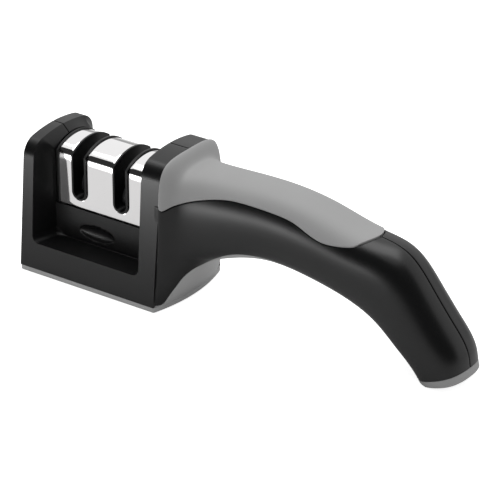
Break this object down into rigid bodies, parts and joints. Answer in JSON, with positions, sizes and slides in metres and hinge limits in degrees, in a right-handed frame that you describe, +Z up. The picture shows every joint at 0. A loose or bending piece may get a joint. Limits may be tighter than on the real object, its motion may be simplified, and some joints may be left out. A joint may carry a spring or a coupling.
{
  "type": "pull through knife sharpener",
  "caption": "Pull-through knife sharpener: saddle head with slots over V-set grinding wheels in a chrome cover, arched soft-grip handle and rubber feet.",
  "frame": {"origin": "middle of the head's base pad, on the surface it stands on", "axes": "+X from the head along the handle, +Y from front to back along the knife's path, +Z up"},
  "size_m": [0.197, 0.045, 0.0629],
  "materials": {
    "black_plastic": "satin black moulding with a fine texture",
    "grey_rubber": "soft matte grey",
    "chrome": "polished",
    "inner_plastic": "smooth black",
    "steel": "plain",
    "coarse_grit": "dark bonded abrasive",
    "fine_ceramic": "fine dark ceramic"
  },
  "bodies": {
    "root": {"front_shell": "black_plastic", "rear_shell": "black_plastic", "top_grip": "grey_rubber", "base_pad": "grey_rubber", "tip_foot": "grey_rubber", "slot_cover": "chrome", "cartridge_frame": "inner_plastic", "swarf_tray": "inner_plastic", "tray_screws": "steel", "shell_screws": "steel", "wheel_axle": "steel", "coarse_slot_guide": "inner_plastic", "coarse_washers": "steel", "fine_slot_guide": "inner_plastic", "fine_washers": "steel"},
    "coarse_wheels": {"coarse_wheel_left": "coarse_grit", "coarse_wheel_right": "coarse_grit", "coarse_hub": "inner_plastic"},
    "fine_wheels": {"fine_wheel_left": "fine_ceramic", "fine_wheel_right": "fine_ceramic", "fine_hub": "inner_plastic"}
  },
  "joints": [
    {"name": "coarse_wheels_spin", "type": "hinge", "parent": "root", "child": "coarse_wheels", "pos_m": [-0.0125, 0.0025, 0.0342], "axis": [1, 0, 0], "continuous": true},
    {"name": "fine_wheels_spin", "type": "hinge", "parent": "root", "child": "fine_wheels", "pos_m": [0.0079, 0.0025, 0.0342], "axis": [1, 0, 0], "continuous": true}
  ]
}
